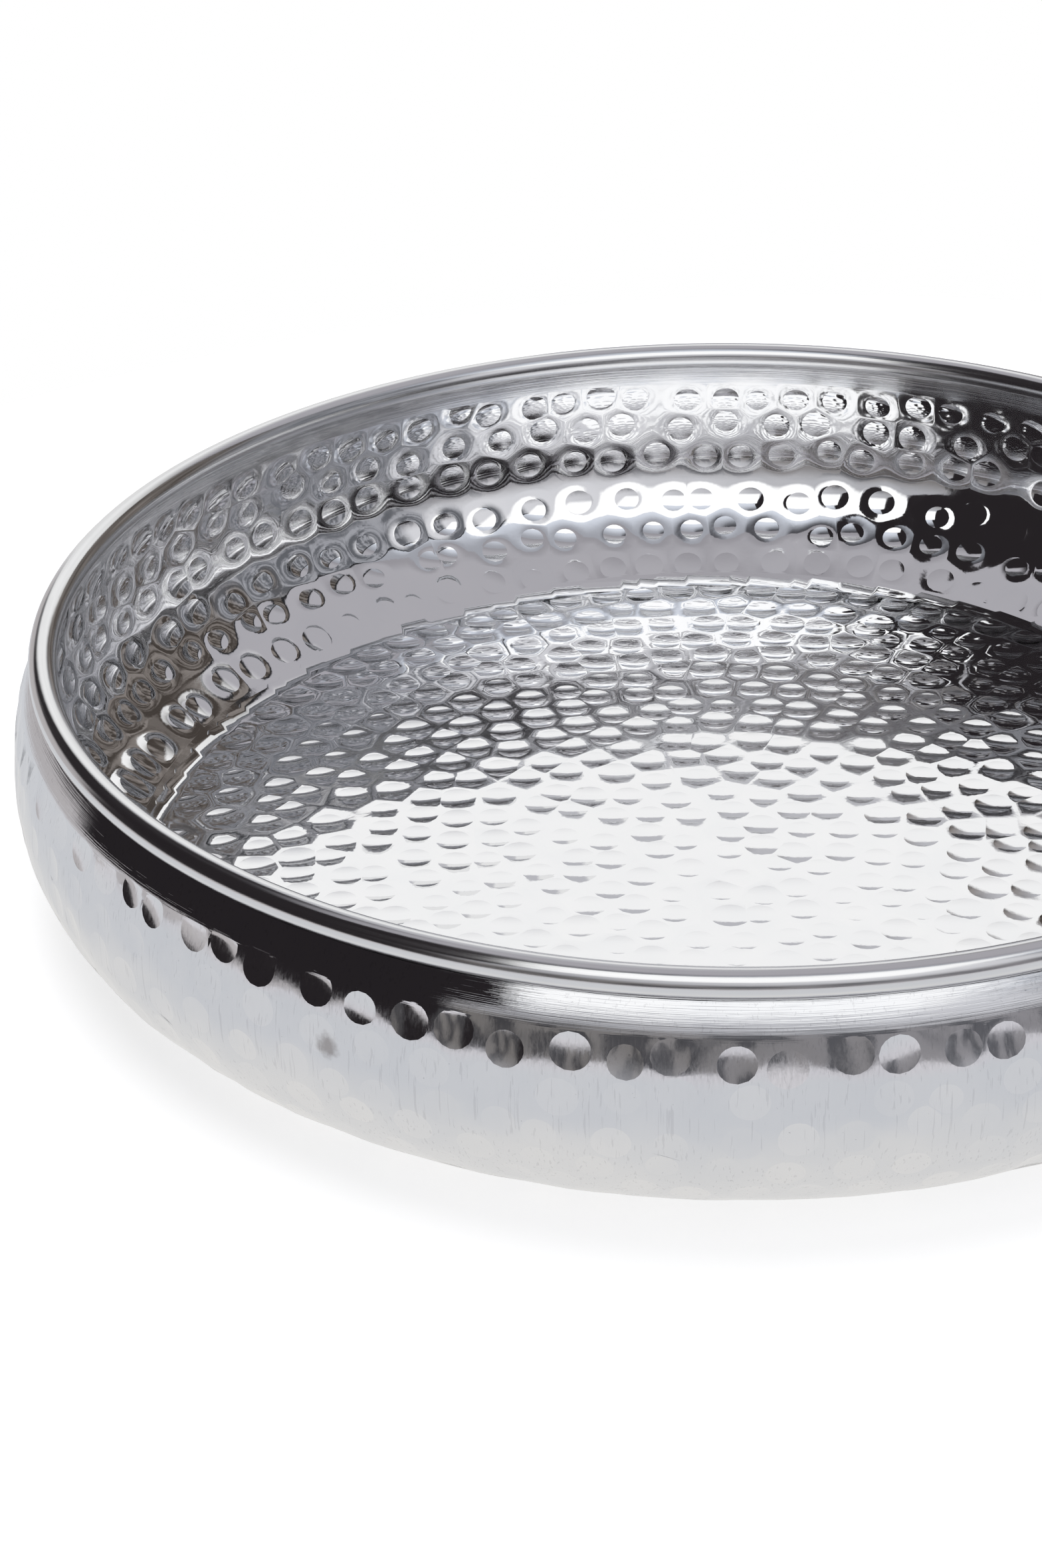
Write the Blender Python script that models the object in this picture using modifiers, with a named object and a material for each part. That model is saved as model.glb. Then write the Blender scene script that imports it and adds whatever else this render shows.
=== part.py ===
"""Round hammered tray: a spun sheet dish whose rim is curled outwards over a wire ring.

Metres, +Z up. The origin is the centre of the underside, where the tray stands.
The section is drawn as the middle line of the sheet, turned about Z and thickened.
"""

import math

import bpy

# Driving sizes of the tray
OVERALL_DIAMETER = 0.400
OVERALL_HEIGHT = 0.076
BELLY_HEIGHT = 0.0376
SHEET = 0.0016
WIRE_DIAMETER = 0.0040
SHOULDER_RADIUS = 0.0020
SHOULDER_RUN = 0.00135

# Directions of the wall where it meets the neck and the floor
MOUTH_LEAN = math.radians(24.0)
CREASE_ANGLE = math.radians(7.4)

# Clearances between the wire and the curl, and between the edge of the curl and the neck
WIRE_GAP = 0.0003
LIP_GAP = 0.0004

# Facets
ROUND_STEPS = 72
LOWER_SEGMENTS = 7
UPPER_SEGMENTS = 6
SHOULDER_SEGMENTS = 3
CURL_SEGMENTS = 15
WIRE_BEVEL_RESOLUTION = 3
MERGE_DISTANCE = 0.00005

# Finishes
DISH_COLOUR = (0.86, 0.865, 0.87, 1.0)
DISH_ROUGHNESS = 0.12
WIRE_COLOUR = (0.50, 0.50, 0.51, 1.0)
WIRE_ROUGHNESS = 0.40

# The curl wraps the wire, so the bead takes its size from the wire and the sheet
BEAD_RADIUS = WIRE_DIAMETER / 2 + WIRE_GAP + SHEET
CURL_RADIUS = BEAD_RADIUS - SHEET / 2
BEAD_HEIGHT = OVERALL_HEIGHT - BEAD_RADIUS

# The middle line of the sheet is upright at the belly, its widest place
BELLY_RADIUS = OVERALL_DIAMETER / 2 - SHEET / 2

# Below the belly one arc runs down to the edge of the flat floor
LOWER_SWEEP = math.pi / 2 - CREASE_ANGLE
LOWER_RADIUS = (BELLY_HEIGHT - SHEET / 2) / math.sin(LOWER_SWEEP)

# Above it a flatter arc leans in to the neck, which turns under the bead on a small shoulder
SHOULDER_HEIGHT = BEAD_HEIGHT - CURL_RADIUS - SHOULDER_RADIUS
UPPER_RADIUS = (SHOULDER_HEIGHT - BELLY_HEIGHT) / math.sin(MOUTH_LEAN) + SHOULDER_RADIUS
UPPER_AXIS = BELLY_RADIUS - UPPER_RADIUS
SHOULDER_AXIS = UPPER_AXIS + (UPPER_RADIUS - SHOULDER_RADIUS) * math.cos(MOUTH_LEAN)
MOUTH_RADIUS = SHOULDER_AXIS - SHOULDER_RUN


def clear_scene():
    """Remove whatever the scene holds."""
    for item in list(bpy.data.objects):
        bpy.data.objects.remove(item, do_unlink=True)


def metal(name, colour, roughness):
    """A plain metal finish."""
    finish = bpy.data.materials.new(name)
    finish.use_nodes = True
    shader = finish.node_tree.nodes["Principled BSDF"]
    shader.inputs["Base Color"].default_value = colour
    shader.inputs["Metallic"].default_value = 1.0
    shader.inputs["Roughness"].default_value = roughness
    finish.diffuse_color = colour
    return finish


def arc(centre, radius, start, end, segments):
    """Points (radius from Z, height) along an arc, without its first point."""
    points = []
    for step in range(1, segments + 1):
        angle = start + (end - start) * step / segments
        points.append((centre[0] + radius * math.cos(angle), centre[1] + radius * math.sin(angle)))
    return points


def lip_angle():
    """Where round the bead the curl ends: its outer corner keeps LIP_GAP to the shoulder."""
    rise = SHOULDER_HEIGHT - BEAD_HEIGHT
    apart = math.hypot(SHOULDER_RUN, rise)
    reach = SHOULDER_RADIUS + SHEET / 2 + LIP_GAP
    spread = (BEAD_RADIUS ** 2 + apart ** 2 - reach ** 2) / (2 * BEAD_RADIUS * apart)
    return math.atan2(rise, SHOULDER_RUN) + math.acos(spread)


def sheet_middle_line():
    """The middle line of the sheet, from the centre of the floor to the edge of the curl."""
    lower_centre = (BELLY_RADIUS - LOWER_RADIUS, BELLY_HEIGHT)
    upper_centre = (UPPER_AXIS, BELLY_HEIGHT)
    shoulder_centre = (SHOULDER_AXIS, SHOULDER_HEIGHT)
    bead_centre = (MOUTH_RADIUS, BEAD_HEIGHT)
    floor_edge = BELLY_RADIUS - LOWER_RADIUS * (1 - math.cos(LOWER_SWEEP))
    line = [(0.0, SHEET / 2), (floor_edge, SHEET / 2)]
    line += arc(lower_centre, LOWER_RADIUS, -LOWER_SWEEP, 0.0, LOWER_SEGMENTS)
    line += arc(upper_centre, UPPER_RADIUS, 0.0, MOUTH_LEAN, UPPER_SEGMENTS)
    line += arc(shoulder_centre, SHOULDER_RADIUS, MOUTH_LEAN, math.pi / 2, SHOULDER_SEGMENTS)
    line.append((MOUTH_RADIUS, BEAD_HEIGHT - CURL_RADIUS))
    line += arc(bead_centre, CURL_RADIUS, 1.5 * math.pi, lip_angle(), CURL_SEGMENTS)
    return line


def make_dish(collection):
    """The sheet: its middle line turned about Z, then given its thickness."""
    line = sheet_middle_line()
    mesh = bpy.data.meshes.new("dish")
    edges = [(index, index + 1) for index in range(len(line) - 1)]
    mesh.from_pydata([(radius, 0.0, height) for radius, height in line], edges, [])
    dish = bpy.data.objects.new("dish", mesh)
    collection.objects.link(dish)

    turn = dish.modifiers.new("turn", "SCREW")
    turn.axis = "Z"
    turn.angle = 2 * math.pi
    turn.steps = ROUND_STEPS
    turn.render_steps = ROUND_STEPS
    turn.use_merge_vertices = True
    turn.merge_threshold = MERGE_DISTANCE
    turn.use_smooth_shade = True

    thicken = dish.modifiers.new("thicken", "SOLIDIFY")
    thicken.thickness = SHEET
    thicken.offset = 0.0
    thicken.use_even_offset = True
    mesh.materials.append(metal("polished_aluminium", DISH_COLOUR, DISH_ROUGHNESS))
    return dish


def make_rim_wire(collection):
    """The wire ring inside the curl, with its corners in line with those of the dish."""
    curve = bpy.data.curves.new("rim_wire", "CURVE")
    curve.dimensions = "3D"
    curve.bevel_depth = WIRE_DIAMETER / 2
    curve.bevel_resolution = WIRE_BEVEL_RESOLUTION
    curve.use_fill_caps = True
    ring = curve.splines.new("POLY")
    ring.points.add(ROUND_STEPS - 1)
    for index, point in enumerate(ring.points):
        angle = 2 * math.pi * index / ROUND_STEPS
        point.co = (MOUTH_RADIUS * math.cos(angle), MOUTH_RADIUS * math.sin(angle), BEAD_HEIGHT, 1.0)
    ring.use_cyclic_u = True
    ring.use_smooth = True
    wire = bpy.data.objects.new("rim_wire", curve)
    collection.objects.link(wire)
    curve.materials.append(metal("steel_wire", WIRE_COLOUR, WIRE_ROUGHNESS))
    return wire


def main():
    clear_scene()
    tray = bpy.data.collections.new("hammered_tray")
    bpy.context.scene.collection.children.link(tray)
    make_dish(tray)
    make_rim_wire(tray)


main()
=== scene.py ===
"""Round hammered tray: the looks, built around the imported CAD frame.

Metres, +Z up, origin at the centre of the underside. The sheet is modelled mark by mark:
the wall was struck from outside, so it is dented outside and bumped inside,
and the floor was struck from inside, so it is dented on top and bumped below.
"""

import math
import random
from collections import namedtuple

import bpy
import numpy as np
from mathutils import Matrix, Vector


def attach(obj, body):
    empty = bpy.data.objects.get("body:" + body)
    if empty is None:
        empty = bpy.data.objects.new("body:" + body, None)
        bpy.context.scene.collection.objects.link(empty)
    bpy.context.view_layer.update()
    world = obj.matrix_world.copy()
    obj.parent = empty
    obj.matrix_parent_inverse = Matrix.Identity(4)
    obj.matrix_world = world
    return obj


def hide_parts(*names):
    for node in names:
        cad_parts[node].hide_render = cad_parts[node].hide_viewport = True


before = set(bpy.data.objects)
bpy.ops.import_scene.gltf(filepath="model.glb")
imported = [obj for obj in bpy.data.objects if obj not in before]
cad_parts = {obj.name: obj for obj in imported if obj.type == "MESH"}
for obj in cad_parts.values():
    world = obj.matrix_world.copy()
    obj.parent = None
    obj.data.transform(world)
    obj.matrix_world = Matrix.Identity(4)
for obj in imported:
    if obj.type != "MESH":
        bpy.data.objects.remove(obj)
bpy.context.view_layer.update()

SEED = 20

# Sizes of the plain sheet, as in the CAD source
OVERALL_DIAMETER = 0.400
OVERALL_HEIGHT = 0.076
BELLY_HEIGHT = 0.0376
SHEET = 0.0016
WIRE_DIAMETER = 0.0040
SHOULDER_RADIUS = 0.0020
SHOULDER_RUN = 0.00135
MOUTH_LEAN = math.radians(24.0)
CREASE_ANGLE = math.radians(7.4)
WIRE_GAP = 0.0003
LIP_GAP = 0.0004

# The section that follows from them
HALF_SHEET = SHEET / 2
BEAD_RADIUS = WIRE_DIAMETER / 2 + WIRE_GAP + SHEET
CURL_RADIUS = BEAD_RADIUS - HALF_SHEET
CURL_START = 1.5 * math.pi
BEAD_HEIGHT = OVERALL_HEIGHT - BEAD_RADIUS
BELLY_RADIUS = OVERALL_DIAMETER / 2 - HALF_SHEET
LOWER_SWEEP = math.pi / 2 - CREASE_ANGLE
LOWER_RADIUS = (BELLY_HEIGHT - HALF_SHEET) / math.sin(LOWER_SWEEP)
LOWER_AXIS = BELLY_RADIUS - LOWER_RADIUS
LOWER_LENGTH = LOWER_RADIUS * LOWER_SWEEP
SHOULDER_HEIGHT = BEAD_HEIGHT - CURL_RADIUS - SHOULDER_RADIUS
UPPER_RADIUS = (SHOULDER_HEIGHT - BELLY_HEIGHT) / math.sin(MOUTH_LEAN) + SHOULDER_RADIUS
UPPER_AXIS = BELLY_RADIUS - UPPER_RADIUS
UPPER_LENGTH = UPPER_RADIUS * MOUTH_LEAN
SHOULDER_AXIS = UPPER_AXIS + (UPPER_RADIUS - SHOULDER_RADIUS) * math.cos(MOUTH_LEAN)
MOUTH_RADIUS = SHOULDER_AXIS - SHOULDER_RUN
WALL_LENGTH = LOWER_LENGTH + UPPER_LENGTH

# Inside, the wall rises from the floor as a flat strip, then curves up to lie just inside the plain sheet
STRIP_ANGLE = math.radians(32.0)
STRIP_LENGTH = 0.0152
STRIP_RISE = STRIP_LENGTH * math.sin(STRIP_ANGLE)
STRIP_RUN = STRIP_LENGTH * math.cos(STRIP_ANGLE)
STRIP_FOOT = SHEET + 0.0005
INNER_OFFSET = 0.00093
INNER_BELLY = BELLY_RADIUS - HALF_SHEET - INNER_OFFSET
INNER_TILT = math.atan(2 * INNER_OFFSET / (SHOULDER_HEIGHT - BELLY_HEIGHT))
INNER_START = math.pi / 2 - STRIP_ANGLE
INNER_RADIUS = ((BELLY_HEIGHT - STRIP_FOOT - STRIP_RISE)
                / (math.sin(INNER_START) - math.sin(INNER_TILT)))
INNER_AXIS = INNER_BELLY - INNER_RADIUS * math.cos(INNER_TILT)
INNER_LEVEL = BELLY_HEIGHT + INNER_RADIUS * math.sin(INNER_TILT)
INNER_LENGTH = STRIP_LENGTH + INNER_RADIUS * (INNER_START - INNER_TILT)
CREASE_RADIUS = INNER_AXIS + INNER_RADIUS * math.cos(INNER_START) - STRIP_RUN
FLOOR_EDGE = LOWER_AXIS + LOWER_RADIUS * math.cos(LOWER_SWEEP)

# Outside, the neck leans in more and more towards the bead
NECK_EXTRA_LEAN = math.radians(22.0)
NECK_BEND = 0.8
NECK_LIFT = 0.00086
LIP_EXTRA = math.radians(11.0)

# Rows of hammer marks on the wall, from the top: distance above the belly at the near and the far side,
# count, sway, size, strength inside (near, far, more at the left) and outside, how much dents look up
Row = namedtuple("Row", "near far count sway size strong_near strong_far more_left strong_outside lean")
ROWS = (
    Row(0.0184, 0.0169, 94, 0.0017, 1.00, 1.15, 1.15, 0.3, 1.00, 0.050),
    Row(0.0080, 0.0066, 79, 0.0006, 1.00, 1.35, 1.35, 0.2, 0.70, 0.0),
    Row(-0.0025, -0.0047, 87, 0.0, 1.00, 1.00, 1.00, 0.3, 0.70, 0.0),
    Row(-0.0131, -0.0205, 81, 0.0, 1.00, 1.20, 1.20, 0.2, 0.70, 0.0),
    Row(-0.0235, -0.0322, 85, 0.0, 0.97, 0.90, 0.90, 0.3, 0.75, 0.0),
    Row(-0.0425, -0.0470, 80, 0.0, 1.18, 0.50, 0.32, 0.5, 0.75, 0.0),
)
ROW_SWAY_TURNS = 3
ROW_SWAY_START = math.radians(255.0)
ROW_WANDER = 0.0004
ROW_WANDER_TURNS = (3, 5, 8)
ROW_JITTER_ALONG = 0.0016
ROW_JITTER_ACROSS = 0.0010
WALL_SCALE = 0.190
WALL_TOP = LOWER_LENGTH + 0.0235
WALL_BOTTOM = 0.0018

# Shape of one wall mark
CROWN_RADIUS = 0.00420
CROWN_HOLLOW = 0.00026
SKIRT = 0.0046
SKIRT_SLOPE = 0.155
SKIRT_POWER = 2.5
DENT_RADIUS = 0.00480
DENT_DEPTH = 0.00032
DENT_LIP_RADIUS = 0.0072
DENT_LIP = 0.00002
WALL_MARK_SPREAD = 0.06
HOLLOW_SPREAD = 0.25
MARK_TILT = 0.030
DENT_TILT_SHARE = 1.5
DENT_SINK_SHARE = 0.6
DENT_ROOM_SHARE = 0.94
DENT_LEAST_SHARE = 0.86

# Hammer marks on the floor
FLOOR_RIM = FLOOR_EDGE - 0.0046
FLOOR_MARGIN = 0.002
FLOOR_SIDES = 168
FLOOR_FIRST_RING = 0.0010
FLOOR_RING_PITCH = 0.0112
FLOOR_MARK_PITCH = 0.0119
FLOOR_JITTER = 0.0014
FLOOR_DENT_RADIUS = 0.00490
FLOOR_DENT_SPREAD = 0.08
FLOOR_CALM_PLACE = (0.03, -0.10)
FLOOR_REACHES = (0.04, 0.19)
FLOOR_CURVES = (0.078, 0.030)
FLOOR_RIDGE_SHARE = 0.5
UNDER_BUMP_RADIUS = 0.0058
UNDER_BUMP = 0.00032

# Slow waves in the sheet: how many, height, least and greatest length, whether they close round the wall
INNER_WAVES = (14, 0.00012, (0.024, 0.070), True)
OUTER_WAVES = (18, 0.00016, (0.016, 0.044), True)
FLOOR_WAVES = (12, 0.00022, (0.040, 0.140), False)
NO_WAVES = (0, 0.0, (), False)

# The floor dips and rises again to a ridge, with a groove between it and the foot of the wall:
# distance from the crease, height above the floor and slope in degrees
CREASE_SECTION = ((-0.0046, -0.00065, 6.0), (-0.0032, -0.00037, 18.0),
                  (-0.0022, 0.00001, 24.0), (-0.0004, 0.00090, 29.0))
CREASE_FAR_EASE = 0.28
CREASE_LEFT_MORE = 0.40
GROOVE_SLOPE = -42.0
CREASE_STEPS = 720
CREASE_RUNS = (4, 10)
CREASE_STRAY = 0.00018
CREASE_TOOTH = 0.00034
CREASE_SLOPE_SPREAD = 3.5

# Fineness of the mesh; ring limits are the shares of the way to a cell's edge that its rings keep within
EDGE_STEP = 0.0026
UNDER_STEP = 0.0050
ROUND_STEPS = 192
NECK_STEPS = 9
SHOULDER_STEPS = 4
BEAD_STEPS = 22
CURL_STEPS = 10
RING_SHARE = 0.6
SKIRT_RING_SHARE = 0.35
BUMP_RING_LIMITS = (0.70, 0.80, 0.86, 0.92)
DENT_RING_LIMITS = (0.88, 0.955, 0.985)
FLOOR_RING_LIMITS = (0.85, 0.95)
UNDER_RING_LIMITS = (0.7,)
ROUNDING = 1e-9
LEAST_WIDTH = 1e-6

# Cells of the marks, and the negative names of what lies across their edges where no other mark does
NEIGHBOURS = 18
SHORTEST_EDGE = 0.00001
CELL_LIMIT = 0.03
CELL_LIMIT_NAMES = [-5, -6, -7, -8]
WALL_BOTTOM_NAME = -1
WALL_TOP_NAME = -2
FLOOR_SIDE_NAME = -10
FLOOR_BORDER_REACH = 0.030
FLOOR_BORDER_SIDES = 6

# Finish of each part of the sheet
INSIDE, RIM, OUTSIDE, UNDERSIDE = range(4)
Coat = namedtuple("Coat", "finish flip struck tone", defaults=(0.0, 0.5))

# Tones of the metals, and heights between which a finish changes
POLISHED_TONES = ((0.915, 0.92, 0.93, 1.0), (0.95, 0.95, 0.955, 1.0))
STREAK_TONE = (0.60, 0.60, 0.615, 1.0)
SPUN_TONES = ((0.84, 0.845, 0.85, 1.0), (0.89, 0.89, 0.895, 1.0))
OUTSIDE_TONES = ((0.825, 0.835, 0.855, 1.0), (0.89, 0.89, 0.895, 1.0))
WORN_TONE = (0.40, 0.40, 0.42, 1.0)
UNDERSIDE_TONES = ((0.70, 0.705, 0.71, 1.0), (0.82, 0.82, 0.82, 1.0))
WIRE_TONES = ((0.34, 0.34, 0.35, 1.0), (0.52, 0.52, 0.52, 1.0))
INSIDE_DULL_HEIGHTS = (0.034, 0.052)
INSIDE_STREAK_HEIGHTS = (0.058, 0.064)
INSIDE_SPUN_HEIGHTS = (0.057, 0.064)
OUTSIDE_SMOOTH_HEIGHTS = (0.0570, 0.0625)
OUTSIDE_SPUN_HEIGHTS = (0.0595, 0.0645)
SPIN_SQUEEZE = 0.0015
HAIR_SQUEEZE = 0.05
SCRATCH_SQUEEZE = 0.03

# A small stain outside, near the front
STAIN_PLACE = (-0.0944, -0.1760, 0.0440)
STAIN_TONE = (0.34, 0.31, 0.30, 1.0)
STAIN_REACH = (0.0030, 0.0062)
STAIN_RAGGED = 0.004

# Table top
WHITE = (1.0, 1.0, 1.0, 1.0)
TABLE_CENTRE = (0.04, -0.05)
TABLE_RADIUS = 0.48
TABLE_HEIGHT = -0.0003
TABLE_CORNERS = 96
TABLE_TONES = ((0.79, 0.79, 0.79, 1.0), (0.81, 0.81, 0.81, 1.0))
FLOOR_LIFT = 0.55
# Painted light: the glow the table shows to the metal instead of being lit, lighter near the tray, darker
# further out and towards the table's edge
FLOOR_NEAR_GLOW = (0.77, 0.76, 0.745, 1.0)
FLOOR_FAR_GLOW = (0.66, 0.67, 0.695, 1.0)
FLOOR_EDGE_GLOW = (0.70, 0.68, 0.71, 1.0)
FLOOR_FAR_START = (0.22, 0.32)
FLOOR_EDGE_START = (0.40, 0.52)
FLOOR_DRIFT = 0.08

# Glowing panels: name, corners, strength, and fade at the left, right, lower and upper edges
PANELS = (
    ("soft_box",
     ((-1.165, -1.95, 1.20), (0.95, -1.95, 1.20), (0.95, -0.48, 1.20), (-0.45, -0.48, 1.20)),
     1.12, (0.005, 0.10, 0.32, 0.03)),
    ("backdrop",
     ((-0.78, 0.85, 0.42), (0.16, 0.85, 0.42), (0.65, 0.85, 1.15), (-0.78, 0.85, 1.15)),
     0.93, (0.15, 0.04, 0.02, 0.80)),
    ("backdrop_foot",
     ((-0.60, 0.86, -0.90), (-0.10, 0.86, -0.90), (-0.10, 0.86, 0.43), (-0.60, 0.86, 0.43)),
     0.80, (0.15, 0.04, 0.0, 0.0)),
)
LEAST_FADE = 0.001

# Tones of the room that the metal reflects
FRONT_DARK = ((0.060, 0.058, 0.062, 1.0), (0.120, 0.120, 0.132, 1.0))
FRONT_PALE = ((0.19, 0.178, 0.172, 1.0), (0.30, 0.29, 0.305, 1.0))
FRONT_HIGH = ((0.44, 0.44, 0.465, 1.0), (0.70, 0.70, 0.73, 1.0))
RIGHT_TONES = ((0.125, 0.13, 0.145, 1.0), (0.36, 0.365, 0.395, 1.0))
RIGHT_BACK_TONES = ((0.060, 0.050, 0.044, 1.0), (0.24, 0.215, 0.20, 1.0))
LEFT_TONE = (0.020, 0.017, 0.019, 1.0)
LEFT_BACK_TONE = (0.50, 0.475, 0.48, 1.0)
BACK_TONE = (0.50, 0.50, 0.53, 1.0)
GLOW_TONE = (0.72, 0.76, 0.84, 1.0)
GLOW_END_TONES = ((0.08, 0.08, 0.09, 1.0), (0.36, 0.37, 0.41, 1.0))
CEILING_TONES = ((0.42, 0.41, 0.44, 1.0), (0.325, 0.315, 0.34, 1.0))
LINE_TONE = (0.02, 0.02, 0.022, 1.0)

# Where the tones change, in degrees to the right of the front and above level
PATCH_SIZE = (9.0, 24.0)
FRONT_TURN = (-40.0, 45.0)
FRONT_HIGH_START = (4.0, 25.0)
RIGHT_START = (46.0, 62.0)
RIGHT_BACK_START = (90.0, 112.0)
LEFT_START = (-41.0, -39.5)
LEFT_CARRY = (18.0, 26.0, 0.0, 8.0)
LEFT_BACK_START = (-116.0, -109.0)
LEFT_BACK_CARRY = (-10.0, -5.5, 66.0, 0.0)
LEFT_BACK_TOP = (7.0, 13.0)
BACK_LEFT_START = (-160.0, -152.0)
BACK_RIGHT_START = (168.0, 178.0)
RIGHTNESS = (20.0, 60.0)
GLOW_END_TURN = (-35.0, 15.0)
CEILING_START = 52.0
CEILING_LEFT_MORE = 24.0
CEILING_RIGHT_LESS = 9.0
CEILING_SOFTNESS = 10.0
CEILING_RIGHT_SHARPER = 8.5
LINE_START = (-1.4, -0.9)

# Where the ceiling changes, as parts of a unit direction to the right and to the front
CEILING_LEFT_SIDE = (-0.26, -0.32)
CEILING_LEFT_AHEAD = (-0.12, -0.07)
CEILING_SHADE_AHEAD = (-0.10, 0.08)
GLOW_START_AHEAD = (0.095, 0.110)
GLOW_FULL_AHEAD = (0.12, 0.50)

# Light overhead
OVERHEAD_POWER = 14.0
OVERHEAD_SIZE = 1.6
OVERHEAD_PLACE = (-0.2, 0.2, 1.5)

# Camera
CAMERA_PLACE = (0.0, -0.8484, 0.4951)
CAMERA_AIM = (-0.05877, 0.0, 0.01726)
CAMERA_ROLL = -0.0230665
CAMERA_LENS = 78.05
CAMERA_CLIP = (0.01, 100.0)
SENSOR = 36.0


# The section of the plain sheet

def columns(*values):
    """Arrays set side by side."""
    return np.stack(values, axis=1)


def unit(vectors):
    """Vectors scaled to length one."""
    return vectors / np.linalg.norm(vectors, axis=-1, keepdims=True)


def wall_section(along):
    """Radius, height and outward direction of the sheet's middle line, by distance along the wall."""
    lower = along < LOWER_LENGTH
    angle = np.where(lower, along / LOWER_RADIUS - LOWER_SWEEP, (along - LOWER_LENGTH) / UPPER_RADIUS)
    bend = np.where(lower, LOWER_RADIUS, UPPER_RADIUS)
    axis = np.where(lower, LOWER_AXIS, UPPER_AXIS)
    out, rise = np.cos(angle), np.sin(angle)
    return axis + bend * out, BELLY_HEIGHT + bend * rise, out, rise


def inner_section(along):
    """The same for the inner face itself, which leaves the floor as a flat strip."""
    inner = along * INNER_LENGTH / LOWER_LENGTH
    flat = inner < STRIP_LENGTH
    bend = np.where(flat, 0.0, (inner - STRIP_LENGTH) / INNER_RADIUS) - INNER_START
    strip_radius = CREASE_RADIUS + inner * math.cos(STRIP_ANGLE)
    strip_height = STRIP_FOOT + inner * math.sin(STRIP_ANGLE)
    lower = (np.where(flat, strip_radius, INNER_AXIS + INNER_RADIUS * np.cos(bend)),
             np.where(flat, strip_height, INNER_LEVEL + INNER_RADIUS * np.sin(bend)),
             np.cos(bend), np.sin(bend))

    radius, height, out, rise = wall_section(along)
    share = np.clip((height - BELLY_HEIGHT) / (SHOULDER_HEIGHT - BELLY_HEIGHT), 0.0, 1.0)
    tilt = np.arctan2(rise, out) - INNER_TILT * (1 - share)
    upper = (radius - HALF_SHEET * out - INNER_OFFSET * (1 - share) ** 2, height - HALF_SHEET * rise,
             np.cos(tilt), np.sin(tilt))
    return [np.where(along < LOWER_LENGTH, below, above) for below, above in zip(lower, upper)]


def face_section(along, side):
    """Radius, height and outward direction of the outer (1) or inner (-1) face of the plain wall."""
    if side < 0:
        return inner_section(along)
    radius, height, out, rise = wall_section(along)
    return radius + HALF_SHEET * out, height + HALF_SHEET * rise, out, rise


def section_at(along, side):
    """The same at one place, as plain numbers."""
    return [float(value) for value in face_section(np.array(along), side)]


class WallFace:
    """One face of the wall. Places are (round, along) on the wall unrolled at WALL_SCALE."""

    def __init__(self, side):
        self.side = side

    def place(self, spots, proud, slopes):
        """Points and normals of spots that stand proud of the plain face and slope by slopes."""
        radius, height, out, rise = face_section(spots[:, 1], self.side)
        turn = spots[:, 0] / WALL_SCALE
        cos, sin = np.cos(turn), np.sin(turn)
        reach = self.side * proud
        away = radius + reach * out
        points = columns(away * cos, away * sin, height + reach * rise)
        face_way = self.side * columns(out * cos, out * sin, rise)
        round_way = columns(-sin, cos, np.zeros_like(sin))
        up_way = columns(-rise * cos, -rise * sin, out)
        stretch = WALL_SCALE / radius
        lean = (slopes[:, 0] * stretch)[:, None] * round_way + slopes[:, 1:] * up_way
        return points, unit(face_way - lean)


class FloorFace:
    """The upper (1) or lower (-1) face of the floor. Places are (x, y)."""

    def __init__(self, side):
        self.side = side

    def place(self, spots, proud, slopes):
        """Points and normals of spots that stand proud of the plain face and slope by slopes."""
        height = HALF_SHEET + self.side * (HALF_SHEET + proud)
        upright = np.full(len(spots), float(self.side))
        points = columns(spots[:, 0], spots[:, 1], height)
        return points, unit(columns(-slopes[:, 0], -slopes[:, 1], upright))


class Ripple:
    """Slow waves left in the sheet by hand work, as a sum of seeded sines."""

    def __init__(self, rng, count, height, lengths, closed):
        self.waves = []
        for _ in range(count):
            length = rng.uniform(*lengths)
            heading = rng.uniform(0.0, math.tau)
            first = math.tau / length * math.cos(heading)
            if closed:
                first = round(first * WALL_SCALE) / WALL_SCALE
            second = math.tau / length * math.sin(heading)
            self.waves.append((first, second, height / math.sqrt(count), rng.uniform(0.0, math.tau)))

    def at(self, spots):
        """Height and the two slopes at each spot."""
        height = np.zeros(len(spots))
        slopes = np.zeros((len(spots), 2))
        for first, second, size, phase in self.waves:
            angle = first * spots[:, 0] + second * spots[:, 1] + phase
            height += size * np.sin(angle)
            slopes[:, 0] += size * first * np.cos(angle)
            slopes[:, 1] += size * second * np.cos(angle)
        return height, slopes


# Profiles of one mark: at() gives height and slopes at distances from its centre, in directions ways,
# with the cell's edge at reach; on a sharp rim, beyond takes the side that lies away from the centre

def within(mark, distance, beyond):
    """Which distances lie in the hollow of a mark."""
    return distance < mark.rim if beyond else distance <= mark.rim


def bowl(mark, level, distance, ways):
    """Height and slopes of the tilted hollow of a mark whose rim stands at level."""
    height = level - mark.depth * (1 - (distance / mark.rim) ** 2) + (ways @ mark.tilt) * distance
    return height, (2 * mark.depth * distance / mark.rim ** 2)[:, None] * ways + mark.tilt


class BumpProfile:
    """Inside of the wall: a shallow tilted hollow with a crisp rim on a rounded rise."""

    def __init__(self, size, depth, tilt, strength):
        self.rim = CROWN_RADIUS * size
        self.depth = CROWN_HOLLOW * depth * strength
        self.tilt = tilt * strength
        self.steep = SKIRT_SLOPE * strength

    def at(self, distance, ways, reach, beyond):
        hollow = within(self, distance, beyond)
        top = self.steep * SKIRT / SKIRT_POWER
        crown, crown_slope = bowl(self, top, distance, ways)
        share = np.clip(1 - (distance - self.rim) / SKIRT, 0.0, 1.0)
        fall = np.where(distance >= reach, 0.0, -self.steep * share ** (SKIRT_POWER - 1))
        height = np.where(hollow, crown, top * share ** SKIRT_POWER)
        return height, np.where(hollow[:, None], crown_slope, fall[:, None] * ways)


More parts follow.
